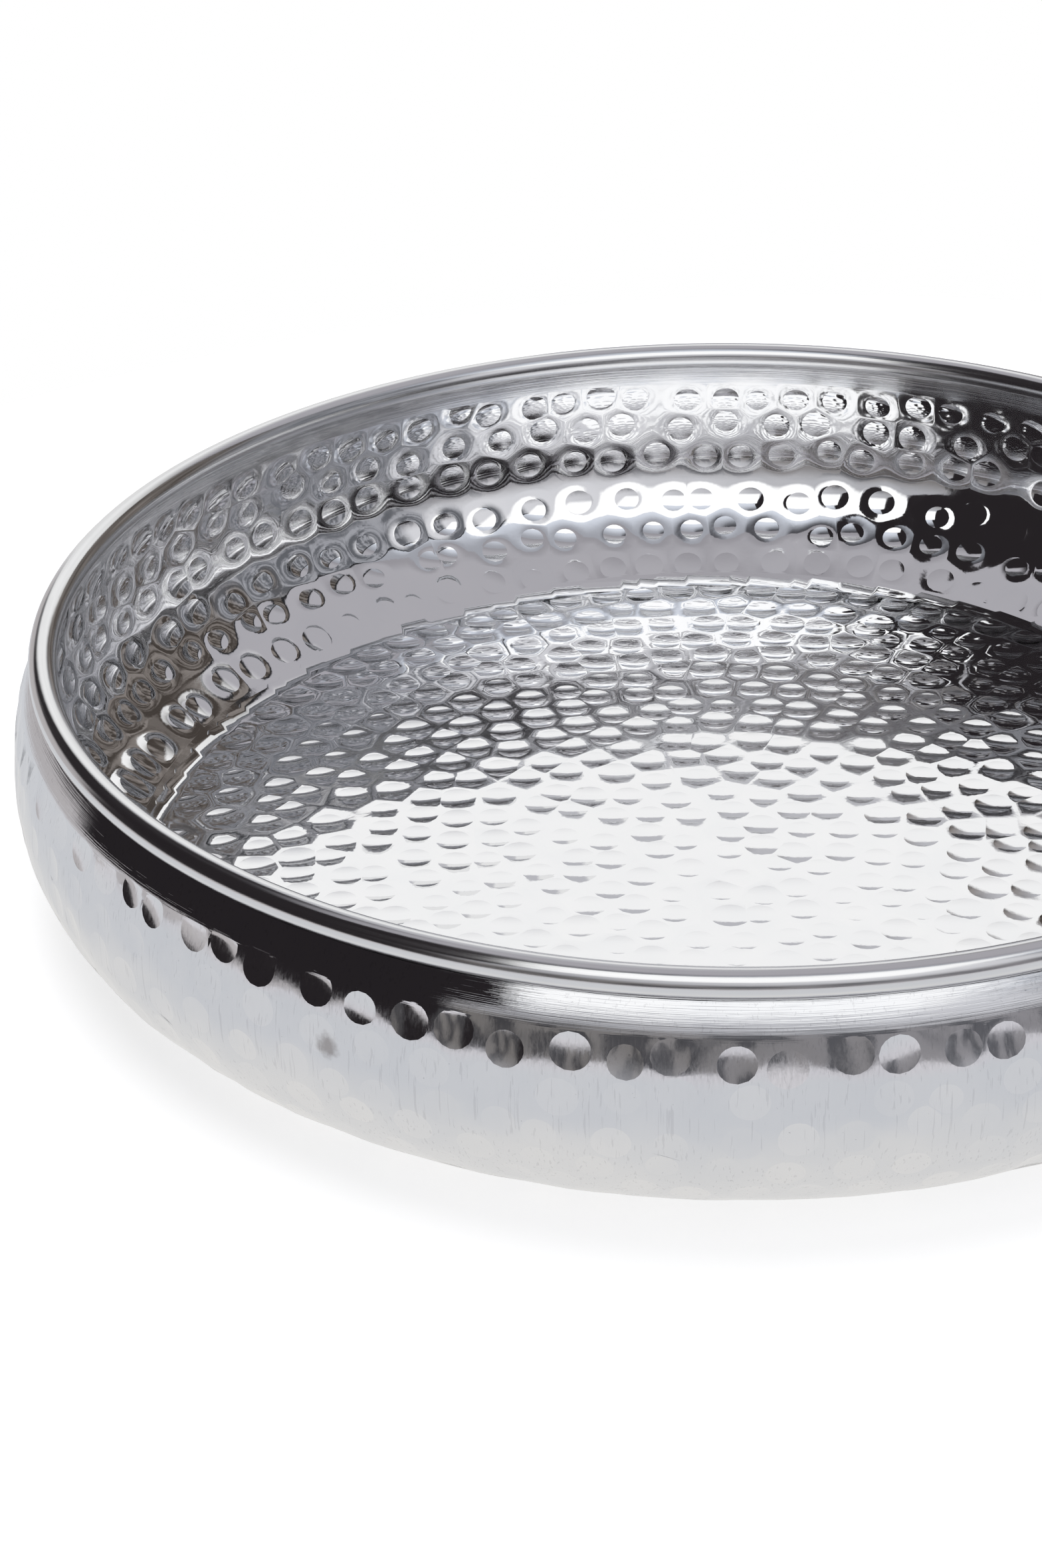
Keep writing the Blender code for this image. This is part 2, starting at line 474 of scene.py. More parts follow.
class DentProfile:
    """Outside of the wall: a round dent with a crisp rim on a slightly drawn-in land."""

    def __init__(self, size, depth, tilt, strength, lean):
        self.rim = DENT_RADIUS * size
        self.depth = DENT_DEPTH * depth * strength
        self.lip = DENT_LIP * strength
        self.tilt = tilt * strength ** 3 * DENT_TILT_SHARE - np.array((0.0, lean))
        self.sink = self.lip + DENT_SINK_SHARE * self.rim * np.linalg.norm(self.tilt)

    def at(self, distance, ways, reach, beyond):
        hollow = within(self, distance, beyond)
        dent, dent_slope = bowl(self, -self.sink, distance, ways)
        share = np.clip((DENT_LIP_RADIUS - distance) / (DENT_LIP_RADIUS - self.rim), 0.0, 1.0)
        rise = 2 * self.lip * share / (DENT_LIP_RADIUS - self.rim)
        height = np.where(hollow, dent, -self.lip * share ** 2)
        return height, np.where(hollow[:, None], dent_slope, rise[:, None] * ways)


class FloorDentProfile:
    """Top of the floor: a round dent whose land rises on to a rounded ridge half way to its neighbours."""

    def __init__(self, rim, curve):
        self.rim = rim
        self.curve = curve

    def at(self, distance, ways, reach, beyond):
        hollow = within(self, distance, beyond)
        dent = (distance ** 2 - self.rim ** 2) / (2 * self.curve)
        steep = FLOOR_RIDGE_SHARE * self.rim / self.curve
        width = np.maximum(reach - self.rim, LEAST_WIDTH)
        share = np.clip((distance - self.rim) / width, 0.0, 1.0)
        ridge = steep * width * (share - share ** 2 / 2)
        slope = np.where(hollow, distance / self.curve, steep * (1 - share))
        return np.where(hollow, dent, ridge), slope[:, None] * ways


class UnderBumpProfile:
    """Underside of the floor: a low round bump without a sharp rim, which reaches down to the table."""

    rim = UNDER_BUMP_RADIUS

    def at(self, distance, ways, reach, beyond):
        share = np.clip(1 - (distance / self.rim) ** 2, 0.0, 1.0)
        slope = -4 * UNDER_BUMP * share * distance / self.rim ** 2
        return UNDER_BUMP * (share ** 2 - 1), slope[:, None] * ways


# Where the marks are

def farness(turn):
    """0 at the near side of the tray, 1 at the far side."""
    return (1 + math.sin(turn)) / 2


def wall_seeds(rng):
    """Centres of the wall marks, row by row, unrolled at WALL_SCALE, and the row of each."""
    seeds = []
    rows = []
    for row in ROWS:
        start = rng.uniform(0.0, 1.0)
        wander = [(turns, rng.uniform(0.0, math.tau)) for turns in ROW_WANDER_TURNS]
        for index in range(row.count):
            turn = math.tau * (index + start) / row.count
            level = row.near + (row.far - row.near) * farness(turn)
            level += sum(ROW_WANDER * math.sin(turns * turn + phase) for turns, phase in wander)
            level -= row.sway * math.sin(ROW_SWAY_TURNS * (turn - ROW_SWAY_START))
            along = LOWER_LENGTH + level + rng.gauss(0.0, ROW_JITTER_ACROSS)
            seeds.append((turn * WALL_SCALE + rng.gauss(0.0, ROW_JITTER_ALONG), along))
            rows.append(row)
    return np.array(seeds), rows


def floor_seeds(rng):
    """Centres of the floor marks, on rings with a hand's unevenness."""
    seeds = []
    for ring in range(int(FLOOR_RIM / FLOOR_RING_PITCH) + 1):
        radius = ring * FLOOR_RING_PITCH + FLOOR_FIRST_RING
        count = max(1, round(math.tau * radius / FLOOR_MARK_PITCH))
        start = rng.uniform(0.0, math.tau)
        for index in range(count):
            turn = start + math.tau * index / count
            x = radius * math.cos(turn) + rng.gauss(0.0, FLOOR_JITTER)
            y = radius * math.sin(turn) + rng.gauss(0.0, FLOOR_JITTER)
            if math.hypot(x, y) < FLOOR_RIM - FLOOR_MARGIN:
                seeds.append((x, y))
    return np.array(seeds)


# The share of the surface that belongs to each mark

def between(here, there, share):
    """The place a share of the way from here to there."""
    return here[0] + share * (there[0] - here[0]), here[1] + share * (there[1] - here[1])


def cut(corners, names, way, limit, name):
    """A convex polygon cut by a straight line; names say what lies across each edge."""
    kept = []
    kept_names = []
    for index, here in enumerate(corners):
        after = corners[(index + 1) % len(corners)]
        over = here[0] * way[0] + here[1] * way[1] - limit
        over_after = after[0] * way[0] + after[1] * way[1] - limit
        if over <= 0:
            kept.append(here)
            kept_names.append(names[index])
        if (over <= 0) != (over_after <= 0):
            kept.append(between(here, after, over / (over - over_after)))
            kept_names.append(name if over <= 0 else names[index])
    return kept, kept_names


def wall_borders(seed):
    """The lines that end the hammered band of the wall."""
    return [((0.0, -1.0), -WALL_BOTTOM, WALL_BOTTOM_NAME), ((0.0, 1.0), WALL_TOP, WALL_TOP_NAME)]


def floor_borders(seed):
    """The sides of the many-sided edge of the floor that are near a mark."""
    borders = []
    if math.hypot(seed[0], seed[1]) > FLOOR_RIM - FLOOR_BORDER_REACH:
        middle = round(math.atan2(seed[1], seed[0]) / math.tau * FLOOR_SIDES)
        for side in range(middle - FLOOR_BORDER_SIDES, middle + FLOOR_BORDER_SIDES + 1):
            turn = math.tau * side / FLOOR_SIDES
            name = FLOOR_SIDE_NAME - side % FLOOR_SIDES
            borders.append(((math.cos(turn), math.sin(turn)), FLOOR_RIM, name))
    return borders


def mark_cells(seeds, rims, period, borders):
    """A polygon round each mark, relative to its centre, with the names of what lies across its edges."""
    cells = []
    for index, seed in enumerate(seeds):
        apart = seeds - seed
        if period:
            apart[:, 0] -= period * np.round(apart[:, 0] / period)
        order = np.argsort((apart ** 2).sum(axis=1))
        corners = [(-CELL_LIMIT, -CELL_LIMIT), (CELL_LIMIT, -CELL_LIMIT),
                   (CELL_LIMIT, CELL_LIMIT), (-CELL_LIMIT, CELL_LIMIT)]
        names = CELL_LIMIT_NAMES
        for other in order[1:NEIGHBOURS + 1]:
            gap = math.hypot(*apart[other])
            limit = (gap ** 2 + rims[index] ** 2 - rims[other] ** 2) / (2 * gap)
            corners, names = cut(corners, names, apart[other] / gap, limit, int(other))
        for way, limit, name in borders(seed):
            corners, names = cut(corners, names, way, limit - way[0] * seed[0] - way[1] * seed[1], name)
        cells.append((corners, names))
    return cells


def dent_fit(cell, size):
    """How far an outside dent is drawn in, so that its rim stays round between its neighbours."""
    corners, names = cell
    rooms = []
    for here, after, name in zip(corners, corners[1:] + corners[:1], names):
        length = math.dist(here, after)
        if name >= 0 and length > SHORTEST_EDGE:
            rooms.append(abs(here[0] * after[1] - here[1] * after[0]) / length)
    fit = DENT_ROOM_SHARE * min(rooms) / (DENT_RADIUS * size)
    return min(1.0, max(DENT_LEAST_SHARE, fit))


# The mesh: loops are closed rows of vertices with a normal at each, and with angles if they go round Z

Loop = namedtuple("Loop", "index way angle", defaults=(None,))


class Skin:
    """The whole sheet as one closed mesh, with its own normals at every corner of every face."""

    def __init__(self):
        self.points = []
        self.faces = []
        self.normals = []
        self.finishes = []
        self.struck = []
        self.tones = []

    def add_points(self, points):
        """New vertices; returns their numbers."""
        first = len(self.points)
        self.points.extend(map(tuple, points))
        return np.arange(first, len(self.points))

    def add_faces(self, corners, ways, coat):
        """Faces (count, corners) with normals (count, corners, 3), turned over where the coat says so."""
        if coat.flip:
            corners = corners[:, ::-1]
            ways = ways[:, ::-1]
        self.faces.extend(map(tuple, corners.tolist()))
        self.normals.append(ways.reshape(-1, 3))
        self.finishes.extend([coat.finish] * len(corners))
        self.struck.extend([coat.struck] * len(corners))
        self.tones.extend([coat.tone] * len(corners))

    def band(self, inner, outer, coat):
        """Four-sided faces between two loops of equal length."""
        corners = columns(inner.index, outer.index, np.roll(outer.index, -1), np.roll(inner.index, -1))
        ways = columns(inner.way, outer.way, np.roll(outer.way, -1, 0), np.roll(inner.way, -1, 0))
        self.add_faces(corners, ways, coat)

    def fan(self, centre, loop, coat):
        """Triangles from a centre to a loop."""
        count = len(loop.index)
        corners = columns(np.repeat(centre.index, count), loop.index, np.roll(loop.index, -1))
        ways = columns(np.repeat(centre.way, count, axis=0), loop.way, np.roll(loop.way, -1, 0))
        self.add_faces(corners, ways, coat)

    def zip(self, low, high, coat):
        """Triangles between two loops round Z whose vertices stand at different angles."""
        corners = []
        ways = []
        first = second = 0
        count, total = len(low.angle), len(high.angle)
        while first < count or second < total:
            ahead = low.angle[(first + 1) % count] + math.tau * ((first + 1) // count)
            beside = high.angle[(second + 1) % total] + math.tau * ((second + 1) // total)
            here, there = first % count, second % total
            if second == total or (first < count and ahead <= beside):
                first += 1
                loop, after = low, first % count
            else:
                second += 1
                loop, after = high, second % total
            corners.append((low.index[here], loop.index[after], high.index[there]))
            ways.append((low.way[here], loop.way[after], high.way[there]))
        self.add_faces(np.array(corners), np.array(ways), coat)

    def join(self, loops, coat):
        """Bands between loops of equal counts that stand at the same angles."""
        for low, high in zip(loops, loops[1:]):
            self.band(low, high, coat._replace(flip=not coat.flip))


def sorted_loop(points, index, way):
    """A loop round Z, in order of angle."""
    angle = np.arctan2(points[:, 1], points[:, 0]) % math.tau
    order = np.argsort(angle)
    return Loop(np.asarray(index)[order], way[order], angle[order])


def with_way(loop, out, rise):
    """The same loop round Z with the normal (out, rise) in section, for a sharp edge."""
    steady = np.full(len(loop.angle), rise)
    return loop._replace(way=columns(out * np.cos(loop.angle), out * np.sin(loop.angle), steady))


class Hammered:
    """One hammered face: its cells, meshed with corners and edges shared between neighbours."""

    def __init__(self, skin, face, ripple, step, coat):
        self.skin = skin
        self.face = face
        self.ripple = ripple
        self.step = step
        self.coat = coat
        self.shared = {}
        self.counts = {}
        self.border = {}

    def place(self, spots, height, slopes):
        """Points and normals of a mark's spots, with the slow waves of the sheet added."""
        wave, wave_slopes = self.ripple.at(spots)
        return self.face.place(spots, height + wave, slopes + wave_slopes)

    def outline(self, index, cell):
        """Local places and shared names of the vertices round a cell, and whether each is on a border."""
        corners, names = cell
        places = []
        keys = []
        on_border = []
        for number, here in enumerate(corners):
            after = corners[(number + 1) % len(corners)]
            name = names[number]
            start = tuple(sorted((index, names[number - 1], name)))
            end = tuple(sorted((index, name, names[(number + 1) % len(corners)])))
            edge = (min(index, name), max(index, name))
            length = math.hypot(after[0] - here[0], after[1] - here[1])
            count = self.counts.setdefault(edge, max(1, round(length / self.step)))
            places.append(here)
            keys.append(start)
            on_border.append(min(names[number - 1], name) < 0)
            for split in range(1, count):
                places.append(between(here, after, split / count))
                keys.append(edge + (0.5, split if start < end else count - split))
                on_border.append(name < 0)
        return np.array(places), keys, on_border

    def cell(self, index, seed, cell, profile, rings, tone):
        """One mark out to the edge of its cell; rings give a radius and a limit each."""
        places, keys, on_border = self.outline(index, cell)
        reach = np.linalg.norm(places, axis=1)
        ways = places / reach[:, None]
        points, edge_way = self.place(seed + places, *profile.at(reach, ways, reach, True))
        for number, key in enumerate(keys):
            if key not in self.shared:
                self.shared[key] = self.skin.add_points(points[number:number + 1])[0]
                if on_border[number]:
                    self.border[key] = (points[number], self.shared[key])
        edge = Loop(np.array([self.shared[key] for key in keys]), edge_way)

        flat = np.zeros((1, 2))
        point, way = self.place(seed + flat, *profile.at(np.zeros(1), flat, np.ones(1), False))
        inner = Loop(self.skin.add_points(point), way)
        connect = self.skin.fan
        for radius, limit in rings:
            distance = np.minimum(radius, limit * reach)
            spots = seed + ways * distance[:, None]
            points, inside_way = self.place(spots, *profile.at(distance, ways, reach, False))
            _, outside_way = self.place(spots, *profile.at(distance, ways, reach, True))
            ring = self.skin.add_points(points)
            struck = 1.0 if radius <= profile.rim + ROUNDING else 0.0
            connect(inner, Loop(ring, inside_way), self.coat._replace(struck=struck, tone=tone))
            connect = self.skin.band
            inner = Loop(ring, outside_way)
        self.skin.band(inner, edge, self.coat._replace(tone=tone))

    def edge_loop(self, keep, out, rise):
        """The border vertices that keep() picks by height, as a loop with one plain normal in section."""
        found = [pair for pair in self.border.values() if keep(pair[0][2])]
        points = np.array([point for point, _ in found])
        return with_way(sorted_loop(points, [index for _, index in found], points), out, rise)


def ring_loop(skin, count, radius, height, out, rise):
    """A ring of new vertices round Z, with the normal (out, rise) in section; each may vary round it."""
    turn = np.arange(count) * math.tau / count
    cos, sin = np.cos(turn), np.sin(turn)
    level = np.zeros(count)
    points = columns(radius * cos, radius * sin, height + level)
    return sorted_loop(points, skin.add_points(points), columns(out * cos, out * sin, rise + level))


def wall_ring(skin, along, side):
    """A ring of a plain wall face."""
    radius, height, out, rise = section_at(along, side)
    return ring_loop(skin, ROUND_STEPS, radius, height, side * out, side * rise)


def arc_rings(skin, axis, level, bend, angles, side):
    """Rings along an arc of the section, with normals away from its centre (1) or towards it (-1)."""
    loops = []
    for angle in angles:
        out, rise = math.cos(angle), math.sin(angle)
        radius = axis + bend * out
        height = level + bend * rise
        loops.append(ring_loop(skin, ROUND_STEPS, radius, height, side * out, side * rise))
    return loops


def lip_angle():
    """Where round the bead the curl ends."""
    rise = SHOULDER_HEIGHT - BEAD_HEIGHT
    apart = math.hypot(SHOULDER_RUN, rise)
    reach = SHOULDER_RADIUS + HALF_SHEET + LIP_GAP
    spread = (BEAD_RADIUS ** 2 + apart ** 2 - reach ** 2) / (2 * BEAD_RADIUS * apart)
    return math.atan2(rise, SHOULDER_RUN) + math.acos(spread) - LIP_EXTRA


def rim_rings(skin, side):
    """Rings from the top of the hammered wall over neck, shoulder and curl, on one face of the sheet."""
    loops = []
    extra = NECK_EXTRA_LEAN if side > 0 else 0.0
    lift = NECK_LIFT if side > 0 else 0.0
    neck = WALL_LENGTH - WALL_TOP
    for step in range(1, NECK_STEPS + 1):
        share = step / NECK_STEPS
        radius, height, out, rise = section_at(WALL_TOP + neck * share, side)
        angle = math.atan2(rise, out) + extra * share ** NECK_BEND
        radius -= neck * extra * share ** (NECK_BEND + 1) / (NECK_BEND + 1)
        height += lift * share ** 2
        out, rise = side * math.cos(angle), side * math.sin(angle)
        loops.append(ring_loop(skin, ROUND_STEPS, radius, height, out, rise))

    bend = SHOULDER_RADIUS + side * HALF_SHEET
    start = MOUTH_LEAN + extra
    axis = radius - bend * math.cos(start)
    level = height - bend * math.sin(start)
    sweep = math.pi / 2 - start
    angles = [start + sweep * step / SHOULDER_STEPS for step in range(1, SHOULDER_STEPS + 1)]
    loops += arc_rings(skin, axis, level, bend, angles, side)

    steps = BEAD_STEPS if side < 0 else CURL_STEPS
    sweep = lip_angle() - CURL_START
    angles = [CURL_START + sweep * step / steps for step in range(steps + 1)]
    bend = CURL_RADIUS - side * HALF_SHEET
    return loops + arc_rings(skin, MOUTH_RADIUS, BEAD_HEIGHT, bend, angles, -side)


def crease_wander(rng):
    """How far the crease strays and how much its slope differs, as short runs with quick steps between."""
    stray = np.zeros(CREASE_STEPS)
    steeper = np.zeros(CREASE_STEPS)
    start = 0
    while start < CREASE_STEPS:
        end = start + rng.randint(*CREASE_RUNS)
        length = len(stray[start:end])
        stray[start:end] = rng.gauss(0.0, CREASE_STRAY) + np.linspace(-CREASE_TOOTH, CREASE_TOOTH, length)
        steeper[start:end] = rng.gauss(0.0, CREASE_SLOPE_SPREAD)
        start = end
    return stray, steeper


def slope_way(slope):
    """The normal in section of a floor that rises away from the centre by a slope in degrees."""
    steep = np.radians(slope)
    return -np.sin(steep), np.cos(steep)


def make_crease(skin, rng, floor_loop, coat):
    """The ridge at the edge of the floor and the groove behind it; returns the foot of the strip."""
    stray, steeper = crease_wander(rng)
    lift = stray * math.tan(STRIP_ANGLE)
    turn = np.arange(CREASE_STEPS) * math.tau / CREASE_STEPS
    ease = 1 - CREASE_FAR_EASE * np.clip(np.sin(turn), 0.0, 1.0)
    ease += CREASE_LEFT_MORE * np.clip(-np.cos(turn), 0.0, 1.0)
    ridge = []
    for run, height, slope in CREASE_SECTION:
        ridge.append(ring_loop(skin, CREASE_STEPS, CREASE_RADIUS + stray + run, SHEET + lift + height,
                               *slope_way(slope * ease + steeper)))
    skin.zip(floor_loop, with_way(ridge[0], 0.0, 1.0), coat)
    skin.join(ridge, coat)
    groove = slope_way(GROOVE_SLOPE)
    foot = ring_loop(skin, CREASE_STEPS, CREASE_RADIUS + stray, STRIP_FOOT + lift, *groove)
    skin.join([with_way(ridge[-1], *groove), foot], coat)
    return foot


def wall_way(along, side):
    """The normal in section of a plain wall face."""
    _, _, out, rise = section_at(along, side)
    return side * out, side * rise


def finish_wall(skin, side, foot, wall):
    """Faces from the foot of a wall to its marks, and on over neck and curl; returns the last ring."""
    low = wall.edge_loop(lambda height: height < BELLY_HEIGHT, *wall_way(WALL_BOTTOM, side))
    high = wall.edge_loop(lambda height: height > BELLY_HEIGHT, *wall_way(WALL_TOP, side))
    skin.zip(foot, low, wall.coat)
    loops = rim_rings(skin, side)
    skin.zip(high, loops[0], wall.coat)
    skin.join(loops[:NECK_STEPS + 1], wall.coat)
    skin.join(loops[NECK_STEPS:], wall.coat._replace(finish=RIM))
    return loops[-1]


def hammer_wall(skin, rng, inner_ripple, outer_ripple):
    """The marks of the wall, on both of its faces."""
    seeds, rows = wall_seeds(rng)
    sizes = [1 + rng.gauss(0.0, WALL_MARK_SPREAD) for _ in seeds]
    depths = [1 + rng.gauss(0.0, HOLLOW_SPREAD) for _ in seeds]
    tilts = [np.array((rng.gauss(0.0, MARK_TILT), rng.gauss(0.0, MARK_TILT))) for _ in seeds]
    tones = [rng.random() for _ in seeds]
    cells = mark_cells(seeds, np.zeros(len(seeds)), math.tau * WALL_SCALE, wall_borders)
    inside = Hammered(skin, WallFace(-1), inner_ripple, EDGE_STEP, Coat(INSIDE, True))
    outside = Hammered(skin, WallFace(1), outer_ripple, EDGE_STEP, Coat(OUTSIDE, False))
    for index, cell in enumerate(cells):
        row = rows[index]
        size = row.size * sizes[index]
        turn = seeds[index][0] / WALL_SCALE
        strength = row.strong_near + (row.strong_far - row.strong_near) * farness(turn)
        strength += row.more_left * max(0.0, -math.cos(turn))
        bump = BumpProfile(size, depths[index], tilts[index], strength)
        radii = (bump.rim * RING_SHARE, bump.rim, bump.rim + SKIRT * SKIRT_RING_SHARE, bump.rim + SKIRT)
        inside.cell(index, seeds[index], cell, bump, zip(radii, BUMP_RING_LIMITS), tones[index])
        size *= dent_fit(cell, size)
        dent = DentProfile(size, depths[index], tilts[index], row.strong_outside, row.lean)
        radii = (dent.rim * RING_SHARE, dent.rim, DENT_LIP_RADIUS)
        outside.cell(index, seeds[index], cell, dent, zip(radii, DENT_RING_LIMITS), tones[index])
    return inside, outside


def hammer_floor(skin, rng, ripple):
    """The marks of the floor, above and below."""
    seeds = floor_seeds(rng)
    rims = np.array([FLOOR_DENT_RADIUS * (1 + rng.gauss(0.0, FLOOR_DENT_SPREAD)) for _ in seeds])
    tones = [rng.random() for _ in seeds]
    cells = mark_cells(seeds, rims, 0.0, floor_borders)
    top = Hammered(skin, FloorFace(1), ripple, EDGE_STEP, Coat(INSIDE, False))
    under = Hammered(skin, FloorFace(-1), Ripple(rng, *NO_WAVES), UNDER_STEP, Coat(UNDERSIDE, True))
    bump = UnderBumpProfile()
    for index, cell in enumerate(cells):
        curve = np.interp(math.dist(seeds[index], FLOOR_CALM_PLACE), FLOOR_REACHES, FLOOR_CURVES)
        dent = FloorDentProfile(float(rims[index]), curve)
        radii = (dent.rim * RING_SHARE, dent.rim)
        top.cell(index, seeds[index], cell, dent, zip(radii, FLOOR_RING_LIMITS), tones[index])
        radii = (bump.rim * RING_SHARE,)
        under.cell(index, seeds[index], cell, bump, zip(radii, UNDER_RING_LIMITS), tones[index])
    return top, under


def build_skin():
    """The whole sheet: marks first, then what joins them, up one face and down the other."""
    rng = random.Random(SEED)
    skin = Skin()
    inner_ripple = Ripple(rng, *INNER_WAVES)
    outer_ripple = Ripple(rng, *OUTER_WAVES)
    floor_ripple = Ripple(rng, *FLOOR_WAVES)
    inside, outside = hammer_wall(skin, rng, inner_ripple, outer_ripple)
    top, under = hammer_floor(skin, rng, floor_ripple)

    floor_loop = top.edge_loop(lambda height: True, 0.0, 1.0)
    foot = make_crease(skin, rng, floor_loop, inside.coat)
    lip = finish_wall(skin, -1, with_way(foot, *wall_way(WALL_BOTTOM, -1)), inside)

    floor_loop = under.edge_loop(lambda height: True, 0.0, -1.0)
    corner = wall_ring(skin, 0.0, 1)
    skin.zip(floor_loop, with_way(corner, 0.0, -1.0), Coat(UNDERSIDE, False))
    edge = finish_wall(skin, 1, corner, outside)

    angle = lip_angle() - math.pi / 2
    edge_way = (math.cos(angle), math.sin(angle))
    skin.band(with_way(lip, *edge_way), with_way(edge, *edge_way), Coat(RIM, False))
    return skin


def add_object(name, data):
    """A new object in the scene."""
    item = bpy.data.objects.new(name, data)
    bpy.context.scene.collection.objects.link(item)
    return item


def add_mesh(name, points, faces):
    """A new mesh object in the scene."""
    mesh = bpy.data.meshes.new(name)
    mesh.from_pydata(points, [], faces)
    return add_object(name, mesh)


def make_dish():
    """The hammered sheet as one object."""
    skin = build_skin()
    dish = add_mesh("hammered_dish", skin.points, skin.faces)
    mesh = dish.data
    mesh.polygons.foreach_set("use_smooth", [True] * len(skin.faces))
    mesh.polygons.foreach_set("material_index", skin.finishes)
    for name, values in (("struck", skin.struck), ("mark_tone", skin.tones)):
        attribute = mesh.attributes.new(name, "FLOAT", "FACE")
        attribute.data.foreach_set("value", values)
    mesh.normals_split_custom_set(np.concatenate(skin.normals).tolist())
    mesh.update()
    return dish


# Materials

class Tree:
    """Short ways to add and link shader nodes."""

    def __init__(self, owner):
        owner.use_nodes = True
        self.nodes = owner.node_tree.nodes
        self.links = owner.node_tree.links

    def feed(self, socket, value):
        """A link from another socket, or a plain number or colour."""
        if isinstance(value, bpy.types.NodeSocket):
            self.links.new(value, socket)
        else:
            socket.default_value = value

    def fill(self, node, values):
        """Feed inputs of a node by name."""
        for name, value in values.items():
            self.feed(node.inputs[name], value)

    def add(self, kind, *values, **settings):
        """A new node with settings, and with its first inputs fed in order; returns its outputs."""
        node = self.nodes.new(kind)
        for name, value in settings.items():
            setattr(node, name, value)
        for socket, value in zip(node.inputs, values):
            self.feed(socket, value)
        return node.outputs

    def restart(self, kind):
        """No nodes but an output; returns its surface socket."""
        self.nodes.clear()
        return self.nodes.new(kind).inputs["Surface"]

    def coordinate(self, name):
        return self.add("ShaderNodeTexCoord")[name]

    def attribute(self, name):
        return self.add("ShaderNodeAttribute", attribute_name=name)["Fac"]

    def math(self, operation, *values):
        return self.add("ShaderNodeMath", *values, operation=operation)[0]

    def span(self, value, low, high, start=0.0, end=1.0):
        """A smooth step of value from start to end between low and high."""
        values = (value, low, high, start, end)
        return self.add("ShaderNodeMapRange", *values, interpolation_type="SMOOTHSTEP")[0]

    def mix(self, share, first, second):
        node = self.nodes.new("ShaderNodeMix")
        node.data_type = "RGBA"
        for number, value in ((0, share), (6, first), (7, second)):
            self.feed(node.inputs[number], value)
        return node.outputs[2]

    def noise(self, place, scale, detail=3.0, roughness=0.55):
        node = self.nodes.new("ShaderNodeTexNoise")
        self.fill(node, {"Vector": place, "Scale": scale, "Detail": detail, "Roughness": roughness})
        return node.outputs[0]

    def bump(self, height, distance, under=None):
        node = self.nodes.new("ShaderNodeBump")
        self.fill(node, {"Distance": distance, "Height": height})
        if under is not None:
            self.feed(node.inputs["Normal"], under)
        return node.outputs[0]


class Metal(Tree):
    """A new metal material with its node helper."""

    def __init__(self, name):
        self.material = bpy.data.materials.new(name)
        super().__init__(self.material)
        self.place = self.coordinate("Object")

    def finish(self, colour, rough, normal):
        """Feed the shader; returns the material."""
        shader = self.nodes["Principled BSDF"]
        self.fill(shader, {"Metallic": 1.0, "Base Color": colour, "Roughness": rough, "Normal": normal})
        return self.material

    def grained(self, grain, haze, tones, rough, distance):
        """A finish whose tone drifts with a haze, and whose roughness and relief follow a grain."""
        shine = self.span(grain, 0.3, 0.7, *rough)
        return self.finish(self.mix(haze, *tones), shine, self.bump(grain, distance))

    def spin_lines(self):
        """Noise drawn out round Z, as the lines left by a spinning tool, and the height above the table."""
        x, y, height = self.add("ShaderNodeSeparateXYZ", self.place)
        away = self.math("SQRT", self.math("ADD", self.math("POWER", x, 2.0), self.math("POWER", y, 2.0)))
        turn = self.math("MULTIPLY", self.math("ARCTAN2", y, x), SPIN_SQUEEZE)
        section = self.add("ShaderNodeCombineXYZ", away, turn, height)[0]
        return self.noise(section, scale=1900.0, roughness=0.6), height

    def upright(self, squeeze):
        """The place with its height squeezed, so that noise is drawn out upwards."""
        node = self.nodes.new("ShaderNodeMapping")
        self.fill(node, {"Vector": self.place, "Scale": (1.0, 1.0, squeeze)})
        return node.outputs[0]


def inside_metal():
    """Bright polished aluminium with a fine orange-peel, and spin lines on the neck."""
    metal = Metal("polished_aluminium")
    place = metal.place
    haze = metal.span(metal.noise(place, scale=60.0, detail=4.0), 0.3, 0.7, 0.0, 0.6)
    shade = metal.math("ADD", haze, metal.math("MULTIPLY", metal.attribute("mark_tone"), 0.4))
    lines, height = metal.spin_lines()
    streaks = metal.math("MULTIPLY", metal.span(lines, 0.35, 0.65, 0.7, 0.1),
                         metal.span(height, *INSIDE_STREAK_HEIGHTS))
    colour = metal.mix(streaks, metal.mix(shade, *POLISHED_TONES), STREAK_TONE)
    land = metal.math("SUBTRACT", 1.0, metal.attribute("struck"))
    dull = metal.math("MULTIPLY", metal.span(height, *INSIDE_DULL_HEIGHTS, 0.0, 0.05), land)
    rough = metal.math("ADD", metal.span(metal.noise(place, scale=240.0), 0.3, 0.75, 0.03, 0.07), dull)
    spun = metal.math("MULTIPLY", lines, metal.span(height, *INSIDE_SPUN_HEIGHTS))
    turned = metal.bump(spun, distance=0.00005)
    peel = metal.bump(metal.noise(place, scale=420.0, detail=2.0), distance=0.00001, under=turned)
    grain = metal.bump(metal.noise(place, scale=2600.0, detail=2.0), distance=0.000001, under=peel)
    return metal.finish(colour, rough, grain)


